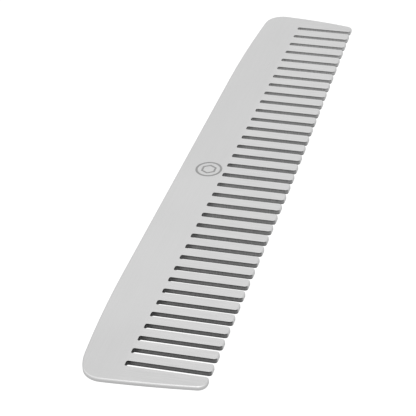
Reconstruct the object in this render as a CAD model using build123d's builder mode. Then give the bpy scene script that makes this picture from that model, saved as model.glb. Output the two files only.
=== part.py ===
from build123d import *
import os
from math import radians, tan

# A flat steel grooming comb, cut in one piece from sheet. It lies flat, with its length along X and its
# width along Y. The back edge is towards -Y and the tooth tips are towards +Y. The teeth are longest at
# the +X end. The plate is made whole, so that its rounded edges run on without a break, and it is then
# divided across the tooth roots into the spine and one solid for each tooth.

# Driving dimensions, in millimetres and degrees
comb_length = 180.7
plate_thickness = 1.3
spine_width = 12.05
tooth_count = 36
tooth_pitch = 4.9
narrowest_slot = 1.45
widest_slot = 1.95
slot_end_radius = 0.45
outer_edge_radius = 0.5
slot_edge_radius = 0.06

# Back edge: straight in the middle, then a long soft shoulder that slopes away towards each rounded
# corner. At the long-tooth end it turns more steeply just before the corner.
shoulder_x = 65.0
shoulder_radius = 400.0
short_end_slope = 4.3
long_end_slope = 4.6
last_turn_x = 84.05
last_turn_slope = 22.3
last_turn_radius = 17.5
short_end_back_radius = 5.2
long_end_back_radius = 5.4

# Ends: slightly bowed, and leaning in towards the tips
short_end_inset = 3.1
short_end_bow_radius = 130.0
long_end_inset = 2.3
long_end_bow_radius = 300.0

# Tooth tips: two straight stretches that meet in the middle slot, the one over the short teeth a little
# steeper. Each tooth has small round corners, and the outer corners of the first and last are larger.
middle_tooth_length = 18.94
short_half_tip_slope = 2.05
long_half_tip_slope = 1.15
tip_corner_radius = 1.0
short_end_tip_radius = 1.8
long_end_tip_radius = 2.4

# Etched mark on the upper face: the thin outlines of a ring and of a hexagon inside it
mark_x = -1.75
mark_from_roots = 4.3
mark_depth = 0.05
mark_line = 0.6
mark_ring_radius = 3.6
mark_hexagon_radius = 2.2
mark_hexagon_sides = 6

# Sizes that follow from these. While the plate is drawn, Y = 0 is the line where the slots end.
slot_count = tooth_count - 1
half_length = comb_length / 2
back_y = -spine_width
last_slot_x = (slot_count - 1) * tooth_pitch / 2
slots_end_x = last_slot_x + widest_slot
slot_cut_length = 2 * middle_tooth_length
top_plane = Plane.XY.offset(plate_thickness)


def slot_width(x):
    """The width of the slot at a place along the comb: the slots widen evenly towards the long teeth."""
    share = (x + last_slot_x) / (2 * last_slot_x)
    return narrowest_slot + share * (widest_slot - narrowest_slot)


def on_tip_line(x):
    """The point of the tip line at a place along the comb."""
    slope = long_half_tip_slope if x > 0 else short_half_tip_slope
    return (x, middle_tooth_length + x * tan(radians(slope)))


def up_slope(start, x, slope):
    """The point at x on a straight line that leaves the start at a slope towards the tips."""
    start_x, start_y = start
    return (x, start_y + abs(x - start_x) * tan(radians(slope)))


# The corners of the outline before they are rounded
left_shoulder = (-shoulder_x, back_y)
right_shoulder = (shoulder_x, back_y)
left_back_corner = up_slope(left_shoulder, -half_length, short_end_slope)
last_turn = up_slope(right_shoulder, last_turn_x, long_end_slope)
right_back_corner = up_slope(last_turn, half_length, last_turn_slope)
short_end_tip = on_tip_line(short_end_inset - half_length)
long_end_tip = on_tip_line(half_length - long_end_inset)
corner_radii = {
    left_shoulder: shoulder_radius,
    right_shoulder: shoulder_radius,
    left_back_corner: short_end_back_radius,
    last_turn: last_turn_radius,
    right_back_corner: long_end_back_radius,
    short_end_tip: short_end_tip_radius,
    long_end_tip: long_end_tip_radius,
}


def blank_outline():
    """The comb's outline with its corners rounded, but with no slots."""
    with BuildSketch() as outline:
        with BuildLine():
            Polyline(left_back_corner, left_shoulder, right_shoulder, last_turn, right_back_corner)
            RadiusArc(right_back_corner, long_end_tip, -long_end_bow_radius)
            Polyline(long_end_tip, on_tip_line(0), short_end_tip)
            RadiusArc(short_end_tip, left_back_corner, -short_end_bow_radius)
        make_face()
        for corner, corner_radius in corner_radii.items():
            fillet(outline.vertices().sort_by_distance(corner)[0], radius=corner_radius)
    return outline.sketch


def slotted_outline():
    """The outline with its blunt-ended slots, and with the corners of the slots and teeth rounded."""
    with BuildSketch() as outline:
        add(blank_outline())
        for number in range(slot_count):
            slot_x = number * tooth_pitch - last_slot_x
            width = slot_width(slot_x)
            with Locations((slot_x, slot_cut_length / 2)):
                RectangleRounded(width, slot_cut_length, slot_end_radius, mode=Mode.SUBTRACT)
        beside_slots = outline.vertices().filter_by_position(Axis.X, -slots_end_x, slots_end_x)
        slot_mouths = beside_slots.filter_by_position(Axis.Y, middle_tooth_length / 2, slot_cut_length)
        fillet(slot_mouths, radius=tip_corner_radius)
    return outline.sketch


def mark_figure():
    """The lines of the etched mark, on the upper face."""
    with BuildSketch(top_plane) as figure:
        with Locations((mark_x, -mark_from_roots)):
            Circle(mark_ring_radius)
            Circle(mark_ring_radius - mark_line, mode=Mode.SUBTRACT)
            RegularPolygon(mark_hexagon_radius, mark_hexagon_sides)
            RegularPolygon(mark_hexagon_radius - mark_line, mark_hexagon_sides, mode=Mode.SUBTRACT)
    return figure.sketch


def rounded_plate(outline, radius):
    """A plate with the given outline, and with its upper and lower edges rounded."""
    with BuildPart() as plate:
        add(outline)
        extrude(amount=plate_thickness)
        by_height = plate.edges().group_by(Axis.Z)
        fillet(by_height[0] + by_height[-1], radius=radius)
    return plate.part


def whole_comb():
    """The comb in one piece: well rounded round the outside, barely rounded in the slots, and marked."""
    with BuildPart() as plate:
        add(rounded_plate(blank_outline(), outer_edge_radius))
        add(rounded_plate(slotted_outline(), slot_edge_radius), mode=Mode.INTERSECT)
        extrude(mark_figure(), amount=-mark_depth, mode=Mode.SUBTRACT)
    return plate.part


def write(piece, name):
    """Labels a finished piece and writes it under its own name."""
    piece.label = name
    export_step(piece, f"parts/{name}.step")


os.makedirs("parts", exist_ok=True)

comb = whole_comb()
outline_middle = comb.bounding_box().center()
comb = comb.moved(Location((-outline_middle.X, -outline_middle.Y, 0)))

# The dividing line crosses the slots where their rounded corners end, so that a tooth is a plain bar
tooth_roots = Plane((0, slot_end_radius - outline_middle.Y, 0), z_dir=(0, 1, 0))

with BuildPart() as spine:
    add(comb)
    split(bisect_by=tooth_roots, keep=Keep.BOTTOM)
write(spine.part, "spine")

with BuildPart() as teeth:
    add(comb)
    split(bisect_by=tooth_roots, keep=Keep.TOP)

for number, solid in enumerate(teeth.solids().sort_by(Axis.X), start=1):
    with BuildPart() as tooth:
        add(solid)
    write(tooth.part, f"tooth_{number:02d}")
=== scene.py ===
"""Looks for the steel grooming comb: satin stainless steel on a white table, seen from its long teeth."""

from math import cos, radians, sin

import bpy
from mathutils import Matrix, Vector


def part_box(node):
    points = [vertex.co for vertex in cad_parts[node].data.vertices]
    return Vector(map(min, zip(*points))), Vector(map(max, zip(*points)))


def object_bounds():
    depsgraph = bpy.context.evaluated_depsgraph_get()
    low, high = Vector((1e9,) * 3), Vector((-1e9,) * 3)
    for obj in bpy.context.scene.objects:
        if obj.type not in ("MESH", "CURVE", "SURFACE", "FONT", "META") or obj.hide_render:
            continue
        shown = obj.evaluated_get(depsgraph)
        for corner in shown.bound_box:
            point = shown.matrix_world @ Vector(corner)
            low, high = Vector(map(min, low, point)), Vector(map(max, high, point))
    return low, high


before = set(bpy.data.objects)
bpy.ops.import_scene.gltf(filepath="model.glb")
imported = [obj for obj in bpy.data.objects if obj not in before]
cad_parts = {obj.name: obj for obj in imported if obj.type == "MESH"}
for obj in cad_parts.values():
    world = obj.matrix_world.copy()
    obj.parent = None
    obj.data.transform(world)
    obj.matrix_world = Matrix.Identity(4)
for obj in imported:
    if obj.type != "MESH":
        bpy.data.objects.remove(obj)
cad_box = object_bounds()
MM = 0.001

# Where the comb's regions are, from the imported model. The teeth begin where the round corners at the
# slots' ends stop, so the slots end one corner radius further back.
SLOT_CORNER_RADIUS = 0.45 * MM
low, high = Vector(cad_box[0]), Vector(cad_box[1])
top_z = high.z
first_slot_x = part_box("tooth_01")[1].x
last_slot_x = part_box("tooth_36")[0].x
tooth_base_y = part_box("tooth_02")[0].y
slot_end_y = tooth_base_y - SLOT_CORNER_RADIUS

# The camera stands off the long-tooth end, turned a little towards the tips, with a long lens
VIEW_ELEVATION = radians(33.21)
VIEW_TURN = radians(17.76)
VIEW_ROLL = radians(-3.15)
VIEW_DISTANCE = 0.50935
VIEW_AIM = Vector((0.016444, -0.003606, top_z))
LENS_MM = 170.5
CLIP_START = 0.01

# The surround is a list of heights, from -1 (straight down) to 1 (straight up), with their brightness
SURROUND = ((-1.0, 0.50), (-0.55, 0.60), (0.0, 0.70), (0.4, 0.80), (0.8, 0.83), (1.0, 0.84))
SOFTBOX_PLACE = Vector((0.48, 0.15, 1.09))
SOFTBOX_SIZE = 0.6
SOFTBOX_WATTS = 0.8
TABLE_HALF_SIZE = 6.0
TABLE_DROP = 1.0 * MM
BACKDROP_HEIGHT = 6.0
TABLE_GLOW = 1.1

# How far a surface faces up or down, from 0 on a wall to 1 on a level face, and how far it faces along
# the comb. A pair gives where a kind of surface begins and where it is certain.
STEEP_UPWARD = (0.75, 0.35)
ROUNDED_UPWARD = (0.999, 0.93)
LEVEL_UPWARD = (0.99, 0.999)
# The painted highlight on the roundings brightens between these
HIGHLIGHT_UPWARD = (0.6, 0.85)
SLOT_SIDE_ALONG = (0.3, 0.8)
COMB_END_ALONG = (0.12, 0.42)

# Greys of the steel. A pair gives the darkest and the brightest of a surface that varies, and a painted
# shade on the level faces is that much darker.
SPINE_TONES = (0.788, 0.805)
TOOTH_TONES = (0.79, 0.84)
SMUDGE_TONES = (-0.008, 0.008)
# Painted shade on the level faces: at the long end, over the short half and on the outer teeth
FACE_SHADE_LONG_END = 0.033
FACE_SHADE_SHORT_HALF = 0.022
FACE_SHADE_OUTER_TEETH = 0.04
# Roundings: painted shade along the back edge, and a painted highlight round the ends from the steep part
# to the brightest
BACK_EDGE_SHADE_TONE = 0.75
END_EDGE_HIGHLIGHT_TONES = (0.79, 0.94)
LONG_END_WALL_SHADE_TONE = 0.16
# Slot walls: painted shade, darkest towards the long teeth
MIDDLE_WALL_SHADE_TONE = 0.345
SHORT_END_WALL_SHADE_TONE = 0.545
ETCHED_TONE = 0.46

# The greys of the slot walls are multiplied by these. The first three are painted shade, darker at the
# rims of the sheet and at the slots' ends; the last is the drag lines. The first two pairs go from the
# short-tooth end towards the long-tooth end, and the last gives the darkest and the brightest line.
WALL_RIM_SHADE = 0.76
WALL_MIDDLE_SHADES = (1.12, 1.5)
SLOT_END_SHADES = (0.92, 0.44)
DRAG_LINE_SHADES = (0.85, 1.15)

# Roughness: the first pair follows the brush marks, and the second follows the smudges and is added
BRUSHED_ROUGHNESS = (0.38, 0.30)
SMUDGE_ROUGHNESS = (-0.03, 0.05)
ROUNDING_ROUGHNESS = 0.30
WALL_ROUGHNESS = 0.5
ETCHED_ROUGHNESS = 0.6

# Noise: how many times it varies in a metre along X, Y and Z, its detail and its seed
COARSE_BRUSHING = ((45.0, 5500.0, 5500.0), 3.0, 0.0)
FINE_BRUSHING = ((160.0, 14000.0, 14000.0), 2.0, 7.0)
TOOTH_BRUSHING = ((4200.0, 180.0, 4200.0), 3.0, 11.0)
SMUDGES = ((60.0, 90.0, 90.0), 3.0, 3.0)
DRAG_LINES = ((9000.0, 9000.0, 350.0), 2.0, 5.0)
NOISE_RANGE = (0.3, 0.7)
FINE_BRUSHING_SHARE = 0.4

# Relief of the brush marks and of the lines in the slot walls
RELIEF_STRENGTH = 0.35
RELIEF_HEIGHT = 0.006 * MM
ROUNDING_RELIEF = 0.4
WALL_RELIEF = 1.6


def make_camera():
    back = Vector(
        (
            cos(VIEW_ELEVATION) * cos(VIEW_TURN),
            cos(VIEW_ELEVATION) * sin(VIEW_TURN),
            sin(VIEW_ELEVATION),
        )
    )
    data = bpy.data.cameras.new("camera")
    data.lens = LENS_MM
    data.clip_start = CLIP_START
    camera = bpy.data.objects.new("camera", data)
    place = Matrix.Translation(VIEW_AIM + back * VIEW_DISTANCE)
    turn = (-back).to_track_quat("-Z", "Y").to_matrix().to_4x4()
    camera.matrix_world = place @ turn @ Matrix.Rotation(VIEW_ROLL, 4, "Z")
    bpy.context.scene.collection.objects.link(camera)
    bpy.context.scene.camera = camera


class Nodes:
    """Short ways to add nodes to a tree."""

    def __init__(self, tree):
        self.tree = tree
        tree.nodes.clear()

    def add(self, kind, **inputs):
        node = self.tree.nodes.new(kind)
        for name, value in inputs.items():
            self.put(node.inputs[name.replace("_", " ")], value)
        return node

    def put(self, socket, value):
        if isinstance(value, bpy.types.NodeSocket):
            self.tree.links.new(value, socket)
        else:
            socket.default_value = value

    def math(self, operation, first, second=0.0):
        node = self.tree.nodes.new("ShaderNodeMath")
        node.operation = operation
        self.put(node.inputs[0], first)
        self.put(node.inputs[1], second)
        return node.outputs[0]

    def product(self, first, *others):
        for other in others:
            first = self.math("MULTIPLY", first, other)
        return first

    def ramp(self, value, start, end, at_start=0.0, at_end=1.0):
        """One number up to the start, another from the end on, with a smooth change between."""
        if start > end:
            start, end, at_start, at_end = end, start, at_end, at_start
        numbers = {"From_Min": start, "From_Max": end, "To_Min": at_start, "To_Max": at_end}
        node = self.add("ShaderNodeMapRange", Value=value, **numbers)
        node.interpolation_type = "SMOOTHSTEP"
        return node.outputs[0]

    def mix(self, share, first, second):
        """A number between first and second."""
        node = self.add("ShaderNodeMix", Factor=share, A=first, B=second)
        node.data_type = "FLOAT"
        return node.outputs[0]


class SteelNodes(Nodes):
    """The nodes of the steel, with the place on the comb, and how far its surface faces up and along."""

    def __init__(self, tree):
        super().__init__(tree)
        self.place = self.add("ShaderNodeTexCoord").outputs["Object"]
        self.x, self.y, self.z = self.add("ShaderNodeSeparateXYZ", Vector=self.place).outputs
        normal = self.add("ShaderNodeNewGeometry").outputs["Normal"]
        facing = self.add("ShaderNodeSeparateXYZ", Vector=normal)
        self.along = self.math("ABSOLUTE", facing.outputs["X"])
        self.upward = self.math("ABSOLUTE", facing.outputs["Z"])

    def noise(self, scale, detail, seed):
        offset = (seed, seed, seed)
        mapping = self.add("ShaderNodeMapping", Vector=self.place, Location=offset, Scale=scale)
        noise = self.add("ShaderNodeTexNoise", Vector=mapping.outputs[0], Scale=1.0, Detail=detail)
        return noise.outputs["Fac"]

    def follow(self, noise, at_low, at_high):
        """A number that follows noise over the range where most of the noise lies."""
        return self.ramp(noise, *NOISE_RANGE, at_low, at_high)


# Lights


def make_surround():
    """A plain soft surround whose brightness depends on height alone."""
    world = bpy.data.worlds.new("surround")
    world.use_nodes = True
    bpy.context.scene.world = world
    n = Nodes(world.node_tree)
    place = n.add("ShaderNodeTexCoord").outputs["Generated"]
    upward = n.add("ShaderNodeSeparateXYZ", Vector=place).outputs["Z"]
    spread = n.add("ShaderNodeMapRange", Value=upward, From_Min=-1.0)
    ramp = n.add("ShaderNodeValToRGB", Fac=spread.outputs[0])
    marks = ramp.color_ramp.elements
    while len(marks) < len(SURROUND):
        marks.new(0.5)
    for mark, (height, value) in zip(marks, SURROUND):
        mark.position = (height + 1.0) / 2.0
        mark.color = (value, value, value, 1.0)
    background = n.add("ShaderNodeBackground", Color=ramp.outputs["Color"])
    n.add("ShaderNodeOutputWorld", Surface=background.outputs[0])


def make_softbox():
    """A round softbox overhead, which faces the middle of the comb."""
    data = bpy.data.lights.new("overhead_softbox", "AREA")
    data.shape = "DISK"
    data.size = SOFTBOX_SIZE
    data.energy = SOFTBOX_WATTS
    light = bpy.data.objects.new("overhead_softbox", data)
    light.location = SOFTBOX_PLACE
    light.rotation_euler = (-SOFTBOX_PLACE).to_track_quat("-Z", "Y").to_euler()
    bpy.context.scene.collection.objects.link(light)


def make_table():
    """A white light table with a backdrop all round: it glows evenly, so the comb throws no shadow."""
    mesh = bpy.data.meshes.new("table_top")
    signs = ((-1, -1), (1, -1), (1, 1), (-1, 1))
    heights = (-TABLE_DROP, BACKDROP_HEIGHT)
    corners = [(x * TABLE_HALF_SIZE, y * TABLE_HALF_SIZE, z) for z in heights for x, y in signs]
    walls = [(side, (side + 1) % 4, (side + 1) % 4 + 4, side + 4) for side in range(4)]
    mesh.from_pydata(corners, [], [(0, 1, 2, 3)] + walls)
    material = bpy.data.materials.new("white_table")
    material.use_nodes = True
    n = Nodes(material.node_tree)
    glow = n.add("ShaderNodeEmission", Strength=TABLE_GLOW)
    n.add("ShaderNodeOutputMaterial", Surface=glow.outputs[0])
    mesh.materials.append(material)
    table = bpy.data.objects.new("table_top", mesh)
    bpy.context.scene.collection.objects.link(table)
    table.visible_diffuse = False
    table.visible_glossy = False
    table.visible_shadow = False


# Steel


def find_slot_walls(n):
    """1 on the walls inside the slots, and 0 on the level faces and round the outside of the comb."""
    near, far = 0.4 * MM, 0.6 * MM
    steep = n.ramp(n.upward, *STEEP_UPWARD)
    past_first = n.ramp(n.x, first_slot_x - far, first_slot_x - near)
    before_last = n.ramp(n.x, last_slot_x + far, last_slot_x + near)
    past_ends = n.ramp(n.y, slot_end_y - far, slot_end_y - near)
    at_ends = n.ramp(n.y, tooth_base_y + 0.4 * MM, tooth_base_y + 0.1 * MM)
    sides_or_ends = n.math("MAXIMUM", n.ramp(n.along, *SLOT_SIDE_ALONG), at_ends)
    return n.product(steep, sides_or_ends, past_first, before_last, past_ends)


def find_etched_floor(n):
    """1 on the floor of the etched lines, which is the only level surface just under the upper face."""
    under_face = n.ramp(n.z, top_z - 0.02 * MM, top_z - 0.03 * MM)
    above_middle = n.ramp(n.z, 0.5 * top_z, 0.9 * top_z)
    level = n.ramp(n.upward, *LEVEL_UPWARD)
    return n.product(under_face, above_middle, level)


def make_brushing(n, on_teeth):
    """Brush marks that run along the comb on its spine, and along each tooth on the teeth."""
    spine_lines = n.mix(FINE_BRUSHING_SHARE, n.noise(*COARSE_BRUSHING), n.noise(*FINE_BRUSHING))
    return n.mix(on_teeth, spine_lines, n.noise(*TOOTH_BRUSHING))


def make_face_tone(n, on_teeth, brushing, smudges):
    """Level faces: the teeth are a little brighter than the spine, and both carry painted shade at their
    ends.
    """
    long_end = n.ramp(n.x, 0.68 * high.x, 0.88 * high.x, 0.0, FACE_SHADE_LONG_END)
    short_half = n.ramp(n.x, 0.08 * high.x, 0.12 * low.x, 0.0, FACE_SHADE_SHORT_HALF)
    spine_painted_shade = n.math("ADD", long_end, short_half)
    from_middle = n.math("ABSOLUTE", n.x)
    teeth_painted_shade = n.ramp(from_middle, 0.85 * high.x, 0.97 * high.x, 0.0, FACE_SHADE_OUTER_TEETH)
    spine_tone = n.math("SUBTRACT", n.follow(brushing, *SPINE_TONES), spine_painted_shade)
    tooth_tone = n.math("SUBTRACT", n.follow(brushing, *TOOTH_TONES), teeth_painted_shade)
    return n.math("ADD", n.mix(on_teeth, spine_tone, tooth_tone), n.follow(smudges, *SMUDGE_TONES))


def make_edge_highlight_and_shade(n):
    """Roundings: a painted highlight round the ends, fading towards the steep part, and painted shade
    along the back edge.
    """
    end_edge_highlight = n.ramp(n.upward, *HIGHLIGHT_UPWARD, *END_EDGE_HIGHLIGHT_TONES)
    return n.mix(n.ramp(n.along, *COMB_END_ALONG), BACK_EDGE_SHADE_TONE, end_edge_highlight)


def make_painted_wall_shade(n, drag_lines):
    """Slot walls: painted shade, lighter half way through the sheet, darker at their ends and towards the
    long teeth.
    """
    long_half = n.ramp(n.x, 0.0, 0.75 * high.x, MIDDLE_WALL_SHADE_TONE, LONG_END_WALL_SHADE_TONE)
    short_half = n.ramp(n.x, low.x, 0.0, SHORT_END_WALL_SHADE_TONE - MIDDLE_WALL_SHADE_TONE, 0.0)
    along_comb = n.math("ADD", long_half, short_half)
    from_middle = n.math("ABSOLUTE", n.math("SUBTRACT", n.z, 0.5 * top_z))
    middle = n.ramp(n.x, 0.2 * high.x, 0.6 * high.x, *WALL_MIDDLE_SHADES)
    through_sheet = n.ramp(from_middle, 0.12 * top_z, 0.35 * top_z, middle, WALL_RIM_SHADE)
    at_slot_end = n.ramp(n.x, low.x, high.x, *SLOT_END_SHADES)
    past_slot_end = n.ramp(n.y, slot_end_y + 0.3 * MM, slot_end_y + 2.5 * MM)
    up_slot = n.mix(past_slot_end, at_slot_end, 1.0)
    return n.product(along_comb, n.follow(drag_lines, *DRAG_LINE_SHADES), through_sheet, up_slot)


def make_steel():
    """Satin stainless steel: brushed faces, roundings with a painted highlight, slot walls with painted
    shade, and an etched mark.
    """
    material = bpy.data.materials.new("satin_stainless_steel")
    material.use_nodes = True
    n = SteelNodes(material.node_tree)
    on_teeth = n.ramp(n.y, slot_end_y - 1.5 * MM, slot_end_y + 1.5 * MM)
    rounding = n.ramp(n.upward, *ROUNDED_UPWARD)
    slot_wall = find_slot_walls(n)
    etched = find_etched_floor(n)
    brushing = make_brushing(n, on_teeth)
    smudges = n.noise(*SMUDGES)
    drag_lines = n.noise(*DRAG_LINES)

    # Level faces carry painted shade at their ends; roundings carry a painted highlight round the ends
    # and painted shade along the back edge
    tone = n.mix(rounding, make_face_tone(n, on_teeth, brushing, smudges), make_edge_highlight_and_shade(n))
    # Slot walls get painted shade in place of the shade inside the narrow slots
    tone = n.mix(slot_wall, tone, make_painted_wall_shade(n, drag_lines))
    tone = n.mix(etched, tone, ETCHED_TONE)
    colour = n.add("ShaderNodeCombineColor", Red=tone, Green=tone, Blue=tone)

    brushed = n.follow(brushing, *BRUSHED_ROUGHNESS)
    rough = n.math("ADD", brushed, n.ramp(smudges, 0.35, 0.7, *SMUDGE_ROUGHNESS))
    rough = n.mix(rounding, rough, ROUNDING_ROUGHNESS)
    rough = n.mix(slot_wall, rough, WALL_ROUGHNESS)
    rough = n.mix(etched, rough, ETCHED_ROUGHNESS)

    relief = n.mix(rounding, brushing, n.product(brushing, ROUNDING_RELIEF))
    relief = n.mix(slot_wall, relief, n.product(drag_lines, WALL_RELIEF))
    bump = n.add("ShaderNodeBump", Strength=RELIEF_STRENGTH, Distance=RELIEF_HEIGHT, Height=relief)

    shader = n.add("ShaderNodeBsdfPrincipled", Roughness=rough, Normal=bump.outputs[0])
    n.put(shader.inputs["Base Color"], colour.outputs[0])
    shader.inputs["Metallic"].default_value = 1.0
    n.add("ShaderNodeOutputMaterial", Surface=shader.outputs["BSDF"])
    return material


def dress_comb():
    steel = make_steel()
    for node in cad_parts.values():
        for slot in node.material_slots:
            slot.material = steel


make_camera()
make_surround()
make_softbox()
make_table()
dress_comb()
bpy.context.scene.view_settings.view_transform = "Standard"
